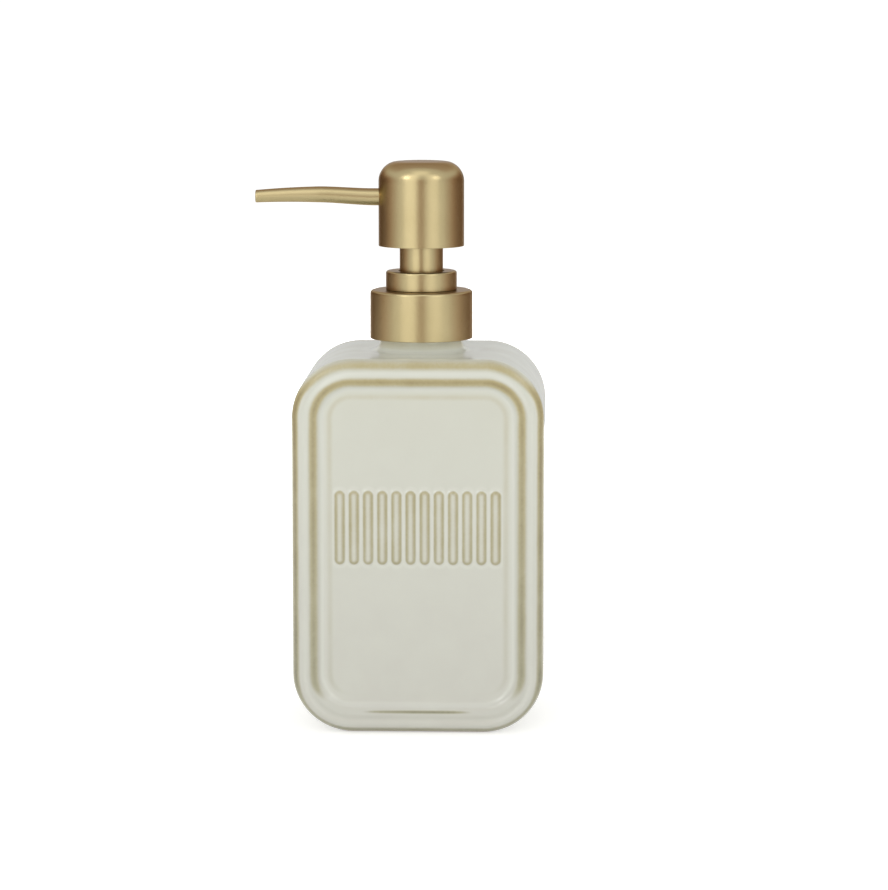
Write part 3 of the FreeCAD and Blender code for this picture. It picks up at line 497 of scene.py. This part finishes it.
# Injection-moulded polypropylene: opaque white, half matt, with the mould's fine spark-eroded grain.
spark_grain, mould_flow = 0.35 * mm, 14 * mm
white_plastic, place = new_material("white moulded polypropylene")
grain = add_node(white_plastic, "ShaderNodeTexNoise", {
    "Vector": place, "Scale": 1 / spark_grain, "Detail": 3.0}).outputs["Fac"]
flow = add_node(white_plastic, "ShaderNodeTexNoise", {
    "Vector": place, "Scale": 1 / mould_flow, "Detail": 2.0}).outputs["Fac"]
tone = add_node(white_plastic, "ShaderNodeMix", {
    0: flow, 6: linear("E6E5DF"), 7: linear("EFEEE9")}, data_type="RGBA").outputs[2]
dull = add_node(white_plastic, "ShaderNodeMath", {
    0: grain, 1: 0.2, 2: 0.32}, operation="MULTIPLY_ADD").outputs[0]
pits = add_node(white_plastic, "ShaderNodeBump", {
    "Height": grain, "Strength": 0.15, "Distance": 0.05 * mm}).outputs["Normal"]
shine = add_node(white_plastic, "ShaderNodeBsdfPrincipled", {
    "Base Color": tone, "Roughness": dull, "IOR": 1.49, "Normal": pits}).outputs["BSDF"]
add_node(white_plastic, "ShaderNodeOutputMaterial", {"Surface": shine})

ring_seam = ring_high.z - 2 * mm
ring_thread_low = neck_rim + 0.4 * mm
ring_thread_high = ring_high.z - thread_lead_in - 0.1 * mm
ring_foot = rounded_outline([
    (ring_bore, ring_seam, 0),
    (ring_bore, ring_low.z, 0.2 * mm),
    (spigot_outer, ring_low.z, 0.3 * mm),
    (spigot_outer, neck_rim, 0.1 * mm),
    (thread_outer, neck_rim, 0.2 * mm),
    (thread_outer, ring_thread_low, 0),
])
ring_crown = rounded_outline([
    (thread_outer, ring_thread_high, 0),
    (thread_outer, ring_high.z - thread_lead_in, 0.1 * mm),
    (thread_outer - thread_lead_in, ring_high.z, 0.2 * mm),
    (ring_bore, ring_high.z, 0.2 * mm),
    (ring_bore, ring_seam, 0),
])
new_piece("neck_thread_ring", [
    turned(ring_foot), threaded(thread_outer, ring_thread_low, ring_thread_high, -1), turned(ring_crown),
], white_plastic, "bottle")

# Pump engine: a housing and stem of natural polypropylene, a dip tube and piston of natural polyethylene.
# Unpigmented, they are milky and let light through. The chaplet, the piston's plug and the head's core are
# white. The solids' own shapes stay and get the finish here.
milk_flow = 10 * mm
natural_plastics = []
for name, tint, grain_size, dull_low in (
    ("natural polypropylene", "E9ECE8", 0.5 * mm, 0.22),
    ("natural polyethylene", "EDEDE6", 0.7 * mm, 0.34),
):
    natural, place = new_material(name)
    haze = add_node(natural, "ShaderNodeTexNoise", {
        "Vector": place, "Scale": 1 / grain_size, "Detail": 2.0}).outputs["Fac"]
    flow = add_node(natural, "ShaderNodeTexNoise", {
        "Vector": place, "Scale": 1 / milk_flow, "Detail": 2.0}).outputs["Fac"]
    tone = add_node(natural, "ShaderNodeMix", {
        0: flow, 6: linear(tint), 7: linear("F4F5F1")}, data_type="RGBA").outputs[2]
    dull = add_node(natural, "ShaderNodeMath", {
        0: haze, 1: 0.2, 2: dull_low}, operation="MULTIPLY_ADD").outputs[0]
    shine = add_node(natural, "ShaderNodeBsdfPrincipled", {
        "Base Color": tone, "Roughness": dull, "IOR": 1.5, "Transmission Weight": 0.45}).outputs["BSDF"]
    add_node(natural, "ShaderNodeOutputMaterial", {"Surface": shine})
    natural_plastics.append(natural)
natural_polypropylene, natural_polyethylene = natural_plastics


def finish_nodes(material, *names):
    """Give CAD nodes that keep their own shape a finish."""
    for name in names:
        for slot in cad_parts[name].material_slots:
            slot.material = material


finish_nodes(natural_polypropylene, "pump_housing", "stem")
finish_nodes(natural_polyethylene, "dip_tube", "piston")
finish_nodes(white_plastic, "chaplet", "piston_retainer", "actuator_core")

# Washer under the housing's flange: die-cut from closed-cell polyethylene foam, white, with fine bubbles,
# and clamped on the neck ring by the cap.
foam_cell = 0.4 * mm
foam, place = new_material("closed-cell foam")
cells = add_node(foam, "ShaderNodeTexVoronoi", {
    "Vector": place, "Scale": 1 / foam_cell}).outputs["Distance"]
tone = add_node(foam, "ShaderNodeMix", {
    0: cells, 6: linear("DAD9D2"), 7: linear("EEEDE8")}, data_type="RGBA").outputs[2]
bubbles = add_node(foam, "ShaderNodeBump", {
    "Height": cells, "Strength": 0.5, "Distance": 0.1 * mm}).outputs["Normal"]
shine = add_node(foam, "ShaderNodeBsdfPrincipled", {
    "Base Color": tone, "Roughness": 0.75, "Normal": bubbles}).outputs["BSDF"]
add_node(foam, "ShaderNodeOutputMaterial", {"Surface": shine})
finish_nodes(foam, "neck_gasket")

# Valve balls: ground soda-lime glass, greenish in the thick, with a trace of grinding haze. They lie loose
# on their seats, one at the foot of the housing and one at the top of the stem.
grind_mark = 0.3 * mm
ball_glass, place = new_material("ground soda-lime glass")
grind = add_node(ball_glass, "ShaderNodeTexNoise", {
    "Vector": place, "Scale": 1 / grind_mark, "Detail": 2.0}).outputs["Fac"]
dull = add_node(ball_glass, "ShaderNodeMath", {0: grind, 1: 0.08}, operation="MULTIPLY").outputs[0]
shine = add_node(ball_glass, "ShaderNodeBsdfPrincipled", {
    "Base Color": linear("E8F2EC"), "Roughness": dull, "IOR": 1.52,
    "Transmission Weight": 1.0}).outputs["BSDF"]
add_node(ball_glass, "ShaderNodeOutputMaterial", {"Surface": shine})
finish_nodes(ball_glass, "inlet_ball", "outlet_ball")

# Return spring: stainless wire coiled cold, seven turns with the end turns drawn close. It shortens with
# the stroke.
spring_low, spring_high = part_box("return_spring")
spring_turns = 7
spring_wire = 0.4 * mm
spring_mean = 4.9 * mm
end_pitch = 1.25 * mm


def coiled_wire(turns, mean, wire, low, high, pitch):
    """Tube of radius `wire` on a helix of radius `mean`, closed to a point at each end.

    At turn t the path is (mean cos 2 pi t, mean sin 2 pi t, z), where z climbs by `pitch` over the first
    and the last turn and evenly between. The section's points are path + wire (radial cos b + up sin b).
    """
    turn = np.linspace(0, turns, 56 * turns + 1)
    height = np.interp(turn, [0, 1, turns - 1, turns],
                       [low + wire, low + wire + pitch, high - wire - pitch, high - wire])
    turn, height = (np.concatenate([c[:1], c, c[-1:]])[:, None] for c in (turn, height))
    radius = np.full_like(turn, wire)
    radius[[0, -1]] = 0
    around = np.linspace(0, 2 * np.pi, 15)
    reach = mean + radius * np.cos(around)
    return grid_of(reach * np.cos(2 * np.pi * turn), reach * np.sin(2 * np.pi * turn),
                   height + radius * np.sin(around))


draw_mark = 0.25 * mm
spring_steel, place = new_material("stainless spring wire")
draw_marks = add_node(spring_steel, "ShaderNodeTexNoise", {
    "Vector": place, "Scale": 1 / draw_mark, "Detail": 3.0}).outputs["Fac"]
tone = add_node(spring_steel, "ShaderNodeMix", {
    0: draw_marks, 6: linear("A9ABAE"), 7: linear("D2D3D4")}, data_type="RGBA").outputs[2]
dull = add_node(spring_steel, "ShaderNodeMath", {
    0: draw_marks, 1: 0.2, 2: 0.18}, operation="MULTIPLY_ADD").outputs[0]
shine = add_node(spring_steel, "ShaderNodeBsdfPrincipled", {
    "Base Color": tone, "Metallic": 1.0, "Roughness": dull}).outputs["BSDF"]
add_node(spring_steel, "ShaderNodeOutputMaterial", {"Surface": shine})
spring = new_piece("return_spring", [
    coiled_wire(spring_turns, spring_mean, spring_wire, spring_low.z, spring_high.z, end_pitch),
], spring_steel, "pump_engine")
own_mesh(spring)

# Screw cap inside the collar: moulded in white polypropylene, with the matching thread in its bore. The
# collar is pressed over it, so the two turn together.
cap_low, cap_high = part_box("screw_cap")
cap_hole = 9.4 * mm
cap_bore = 13.7 * mm
cap_ceiling = cap_high.z - 1.5 * mm
cap_lead_in = 0.8 * mm
cap_thread_low = cap_low.z + cap_lead_in + 0.3 * mm
cap_thread_high = cap_ceiling - 1.5 * mm
cap_foot = rounded_outline([
    (cap_bore, cap_thread_low, 0),
    (cap_bore, cap_low.z + cap_lead_in, 0.1 * mm),
    (cap_bore + cap_lead_in, cap_low.z, 0.15 * mm),
    (cap_high.x, cap_low.z, 0.2 * mm),
    (cap_high.x, cap_high.z, 0.4 * mm),
    (cap_hole, cap_high.z, 0.2 * mm),
    (cap_hole, cap_ceiling, 0.2 * mm),
    (cap_bore, cap_ceiling, 0.3 * mm),
    (cap_bore, cap_thread_high, 0),
])
new_piece("screw_cap", [
    turned(cap_foot), threaded(cap_bore, cap_thread_low, cap_thread_high, 1),
], white_plastic, "collar")

# Collar over the cap: sheet metal drawn into a ring with a small bend at its top edge, satin-blasted and
# coated a pale gold, as are the cover ring, the sleeve, the head and the nozzle.
sheet_metal = 0.5 * mm
cut_round = 0.12 * mm


def drawn_ring(node, hole, bend):
    """Turned outline of a drawn ring: a wall and a flat top of sheet metal, with a bend between them.

    Radii and heights come from the node's box: the wall stands on the outside, the top spans to the hole.
    """
    low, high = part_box(node)
    outer = high.x
    seam = low.z + 2 * mm
    return turned(rounded_outline([
        (outer, seam, 0),
        (outer, high.z, bend),
        (hole, high.z, cut_round),
        (hole, high.z - sheet_metal, cut_round),
        (outer - sheet_metal, high.z - sheet_metal, bend - sheet_metal),
        (outer - sheet_metal, low.z, cut_round),
        (outer, low.z, cut_round),
        (outer, seam, 0),
    ], steps=8))


# Satin gold: blasted with fine bead and coated, so highlights spread softly and edges turn to brown. The
# bead marks are about 0.05 mm and are drawn at 0.3 mm so that they show.
bead_mark, wear_patch = 0.3 * mm, 11 * mm
gold, place = new_material("satin gold metal")
beads = add_node(gold, "ShaderNodeTexNoise", {
    "Vector": place, "Scale": 1 / bead_mark, "Detail": 3.0}).outputs["Fac"]
wear = add_node(gold, "ShaderNodeTexNoise", {
    "Vector": place, "Scale": 1 / wear_patch, "Detail": 3.0}).outputs["Fac"]
tone = add_node(gold, "ShaderNodeMix", {
    0: wear, 6: linear("A5966C"), 7: linear("B0A178")}, data_type="RGBA").outputs[2]
dull = add_node(gold, "ShaderNodeMath", {
    0: beads, 1: 0.03, 2: 0.265}, operation="MULTIPLY_ADD").outputs[0]
dents = add_node(gold, "ShaderNodeBump", {
    "Height": beads, "Strength": 0.02, "Distance": 0.01 * mm}).outputs["Normal"]
shine = add_node(gold, "ShaderNodeBsdfPrincipled", {
    "Base Color": tone, "Metallic": 1.0, "Roughness": dull, "Specular Tint": linear("A8896A"),
    "Coat Weight": 0.5, "Coat Roughness": 0.3, "Normal": dents}).outputs["BSDF"]
add_node(gold, "ShaderNodeOutputMaterial", {"Surface": shine})

collar_bend = 1.0 * mm
new_piece("collar_shell", [drawn_ring("collar_shell", cap_hole, collar_bend)], gold,
          "collar")

# Cover ring over the chaplet: drawn sheet metal, pressed on, the small gold step that the sleeve slides
# through.
cover_hole = 7.4 * mm
cover_bend = 0.8 * mm
new_piece("chaplet_cover", [drawn_ring("chaplet_cover", cover_hole, cover_bend)], gold,
          "pump_engine")

# Sleeve on the head's hub: drawn tube, pressed on, the part of the stem that shows between the ring and
# the head.
sleeve_low, sleeve_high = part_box("stem_sleeve")
sleeve_bore = sleeve_high.x - sheet_metal
sleeve_middle = (sleeve_low.z + sleeve_high.z) / 2
sleeve_outline = rounded_outline([
    (sleeve_high.x, sleeve_middle, 0),
    (sleeve_high.x, sleeve_high.z, cut_round),
    (sleeve_bore, sleeve_high.z, cut_round),
    (sleeve_bore, sleeve_low.z, cut_round),
    (sleeve_high.x, sleeve_low.z, cut_round),
    (sleeve_high.x, sleeve_middle, 0),
])
new_piece("stem_sleeve", [turned(sleeve_outline)], gold, "head")

# Head: a deep-drawn cup with a round shoulder and a slightly crowned top, pressed over the moulded core,
# whose ribs hold it.
head_low, head_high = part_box("head_shell")
head_crown = 1.1 * mm
head_round = 5.5 * mm
head_outer = head_high.x
head_shoulder = head_high.z - head_crown
head_middle = head_low.z + 4 * mm
head_outline = rounded_outline([
    (0, head_shoulder, 0),
    (head_outer, head_shoulder, head_round),
    (head_outer, head_low.z, cut_round),
    (head_outer - sheet_metal, head_low.z, cut_round),
    (head_outer - sheet_metal, head_shoulder - sheet_metal, head_round - sheet_metal),
    (0, head_shoulder - sheet_metal, 0),
], steps=14)
rise = smooth_step((head_outline[:, 1] - head_middle) / (head_shoulder - head_middle))
head_outline[:, 1] += head_crown * (1 - (head_outline[:, 0] / head_outer) ** 2) * rise
new_piece("head_shell", [turned(head_outline, 192)], gold, "head")

# Nozzle: drawn tube that tapers to its tip, with a slight arch, pressed into the core through the head's
# side. Its tip is cut square and rounded over.
nozzle_low, nozzle_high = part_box("nozzle_tube")
nozzle_tip, nozzle_seat = -nozzle_low.x, -nozzle_high.x
nozzle_axis = 169.3 * mm
hump_reach, hump_rise, tip_drop = 33.4 * mm, 0.75 * mm, 0.65 * mm
root_radius, hump_radius, tip_radius = 2.78 * mm, 2.58 * mm, 2.025 * mm
arch_start = head_outer + 1.0 * mm


def arched_tube(reach, offset, columns=48):
    """Rings of a tube that runs along -X: y = r cos a, z = arch + r sin a.

    The arch rises by a smooth step to the hump and falls from there by the square of the way to the tip.
    The radius r is the tapered outer radius plus the offset, which is negative inside the bore.
    """
    rise = hump_rise * smooth_step((reach - arch_start) / (hump_reach - arch_start))
    fall = tip_drop * np.clip((reach - hump_reach) / (nozzle_tip - hump_reach), 0, 1) ** 2
    taper = np.interp(reach, [arch_start, hump_reach, nozzle_tip], [root_radius, hump_radius, tip_radius])
    angle = np.linspace(0, 2 * np.pi, columns + 1)
    radius = (taper + offset)[:, None]
    center = (nozzle_axis + rise - fall)[:, None]
    return grid_of(-reach[:, None], radius * np.cos(angle), center + radius * np.sin(angle))


lip_round = sheet_metal / 2
lip_turn = np.linspace(0, np.pi, 9)
nozzle_reach = np.linspace(nozzle_seat, nozzle_tip - lip_round, 90)
nozzle_outline = np.concatenate([
    np.stack([nozzle_reach, np.zeros_like(nozzle_reach)], -1),
    np.stack([nozzle_reach[-1] + lip_round * np.sin(lip_turn), lip_round * (np.cos(lip_turn) - 1)], -1),
    np.stack([nozzle_reach[::-1], np.full_like(nozzle_reach, -sheet_metal)], -1),
    [(nozzle_seat, 0)],
])
new_piece("nozzle_tube", [arched_tube(*nozzle_outline.T)], gold, "head")

# Studio: a floor of white paper, which glows to the camera and in reflections so that it reads as white,
# less so near the object, where its shadow shows, and an even white surround.
floor_size = 40.0
floor_drop = 0.2 * mm
shadow_reach, white_reach = 0.1, 1.0
shadow_glow, white_glow = 0.5, 0.8
surround_light = 0.34


def seen_directly(owner):
    """1 for rays of the camera, of reflections and through clear pieces, and 0 for the rays that light."""
    path = add_node(owner, "ShaderNodeLightPath", {}).outputs
    seen = add_node(owner, "ShaderNodeMath", {
        0: path["Is Camera Ray"], 1: path["Is Glossy Ray"]}, operation="MAXIMUM").outputs[0]
    return add_node(owner, "ShaderNodeMath", {
        0: seen, 1: path["Is Transmission Ray"]}, operation="MAXIMUM").outputs[0]


paper, place = new_material("white paper sweep")
away = add_node(paper, "ShaderNodeVectorMath", {0: place}, operation="LENGTH").outputs["Value"]
glow = add_node(paper, "ShaderNodeMapRange", {
    "Value": away, "From Min": shadow_reach, "From Max": white_reach,
    "To Min": shadow_glow, "To Max": white_glow}).outputs["Result"]
glow = add_node(paper, "ShaderNodeMath", {
    0: seen_directly(paper), 1: glow}, operation="MULTIPLY").outputs[0]
shine = add_node(paper, "ShaderNodeBsdfPrincipled", {
    "Base Color": linear("E6E6E4"), "Roughness": 0.9, "Specular IOR Level": 0.0,
    "Emission Color": linear("FFFFFF"), "Emission Strength": glow}).outputs["BSDF"]
add_node(paper, "ShaderNodeOutputMaterial", {"Surface": shine})
floor_span = np.linspace(-floor_size / 2, floor_size / 2, 2)
floor_grid = grid_of(floor_span, floor_span[:, None], -floor_drop)
floor = bpy.data.objects.new("floor", new_mesh("floor", [floor_grid], paper, {}))
bpy.context.scene.collection.objects.link(floor)

surround = bpy.data.worlds.new("white surround")
surround.use_nodes = True
surround.node_tree.nodes.clear()
bpy.context.scene.world = surround
level = add_node(surround, "ShaderNodeMapRange", {
    "Value": seen_directly(surround), "To Min": surround_light, "To Max": 1.0}).outputs["Result"]
sky = add_node(surround, "ShaderNodeBackground", {
    "Color": linear("FFFFFF"), "Strength": level}).outputs["Background"]
add_node(surround, "ShaderNodeOutputWorld", {"Surface": sky})


def aimed(data, spot, target):
    """Place a lamp or a camera at a spot, turned to look at a target."""
    thing = bpy.data.objects.new(data.name, data)
    thing.location = spot
    thing.rotation_euler = (Vector(target) - Vector(spot)).to_track_quat("-Z", "Y").to_euler()
    bpy.context.scene.collection.objects.link(thing)
    return thing


def bearing_of(azimuth, elevation):
    """Unit direction from the object: azimuth from the front towards the right, elevation upwards."""
    a, e = np.radians([azimuth, elevation])
    return np.array([np.sin(a) * np.cos(e), -np.cos(a) * np.cos(e), np.sin(e)])


# Lamps: a soft box on each side in front and one overhead. The glints are small and show in reflections
# alone, and the fills light all sides and show in none. Watts are four times area times radiance.
object_middle = np.array([0, 0, 90 * mm])
for name, azimuth, elevation, distance, width, tall, radiance in (
    ("left soft box", -28, 22, 1.15, 0.7, 1.2, 0.72),
    ("right soft box", 35, 22, 1.2, 0.6, 1.2, 0.55),
    ("overhead soft box", 0, 60, 1.2, 0.7, 0.5, 0.6),
    ("left glint", -42, 31, 1.2, 0.3, 0.3, 2.8),
    ("right glint", 46, 31, 1.2, 0.3, 0.3, 1.5),
    ("front fill", 2, 12, 1.5, 1.0, 1.0, 1.5),
    ("left fill", -108, 12, 1.5, 1.0, 1.0, 1.9),
    ("right fill", 108, 12, 1.5, 1.0, 1.0, 1.9),
    ("back fill", 180, 12, 1.5, 1.0, 1.0, 2.4),
):
    lamp = bpy.data.lights.new(name, "AREA")
    lamp.shape = "RECTANGLE"
    lamp.size = width
    lamp.size_y = tall
    lamp.energy = 4 * width * tall * radiance
    box = aimed(lamp, object_middle + distance * bearing_of(azimuth, elevation), object_middle)
    box.visible_camera = False
    box.visible_glossy = "fill" not in name
    box.visible_diffuse = "glint" not in name

# Flags: sheets that only reflections see and that give the metal its brown edges. A curved one stands on
# each side, darker and browner towards the back and white at its top, a narrow one at the camera darkens
# the middle, a low strip stands behind the object, and a canopy hangs over the back.
flag_reach, flag_height = 0.8, 0.6
flag_fade, flag_white = 0.6, 0.45
warm_below, warm_span = 0.95, 0.5
strip_reach, strip_half, strip_height, strip_tone = 0.75, 0.35, 0.3, 0.66
canopy_half, canopy_depth, canopy_height, canopy_edge = 1.2, 1.6, 1.0, 0.6
canopy_dark, canopy_warmth = 0.35, 0.5
flag_cloth = new_material("flag cloth")[0]
tone, warmth = (add_node(flag_cloth, "ShaderNodeAttribute", {}, attribute_name=name).outputs["Fac"]
                for name in ("tone", "warmth"))
shade = add_node(flag_cloth, "ShaderNodeMix", {
    0: warmth, 6: linear("FFFFFF"), 7: linear("FFC9A8")}, data_type="RGBA").outputs[2]
cloth = add_node(flag_cloth, "ShaderNodeEmission", {"Color": shade, "Strength": tone}).outputs["Emission"]
add_node(flag_cloth, "ShaderNodeOutputMaterial", {"Surface": cloth})


def new_flag(name, grid, tone, warmth):
    """A sheet of flag cloth, as bright as its tone and as brown as its warmth at each point."""
    marks = {"tone": [np.broadcast_to(tone, grid.shape[:2])],
             "warmth": [np.broadcast_to(warmth, grid.shape[:2])]}
    flag = bpy.data.objects.new(name, new_mesh(name, [grid], flag_cloth, marks))
    bpy.context.scene.collection.objects.link(flag)
    flag.visible_camera = False
    flag.visible_diffuse = False
    flag.visible_shadow = False
    flag.visible_transmission = False


for name, start, end, bright, dark in (
    ("left flag", -64, -150, 0.85, 0.2),
    ("right flag", 68, 150, 0.85, 0.28),
    ("camera flag", -7, 11, 0.5, 0.5),
):
    share = np.linspace(0, 1, 41)
    angle = np.radians(start + share * (end - start))
    rise = np.linspace(0, flag_height, 13)[:, None]
    tone = bright + (dark - bright) * smooth_step(share / flag_fade)
    tone = tone + (1 - tone) * smooth_step((rise / flag_height - flag_white) / (1 - flag_white))
    new_flag(name, grid_of(flag_reach * np.sin(angle), -flag_reach * np.cos(angle), rise),
             tone, np.clip((warm_below - tone) / warm_span, 0, 1))
strip_x = np.linspace(-strip_half, strip_half, 2)
strip_z = np.linspace(0, strip_height, 2)[:, None]
new_flag("back strip", grid_of(strip_x, strip_reach, strip_z), strip_tone, 0.0)
canopy_x = np.linspace(-canopy_half, canopy_half, 25)
canopy_y = np.linspace(0, canopy_depth, 17)[:, None]
fade = (smooth_step((canopy_half - np.abs(canopy_x)) / canopy_edge)
        * smooth_step((canopy_depth - canopy_y) / canopy_edge))
new_flag("canopy", grid_of(canopy_x, canopy_y, canopy_height),
         1 - canopy_dark * fade, canopy_warmth * fade)

# Camera: a long lens, slightly above the object and a little to its right, as in the photograph. It aims
# to the right of the axis, which puts the object left of the picture's middle.
view_azimuth, view_elevation, view_distance = 2.0, 7.6, 1.2
view_shift, view_height = 7.3 * mm, 88.68 * mm
camera_data = bpy.data.cameras.new("camera")
camera_data.lens = 149.38
camera_data.sensor_width = 36.0
view_target = view_shift * bearing_of(view_azimuth + 90, 0) + np.array([0, 0, view_height])
view_spot = view_target + view_distance * bearing_of(view_azimuth, view_elevation)
bpy.context.scene.camera = aimed(camera_data, view_spot, view_target)
bpy.context.scene.view_settings.view_transform = "Standard"
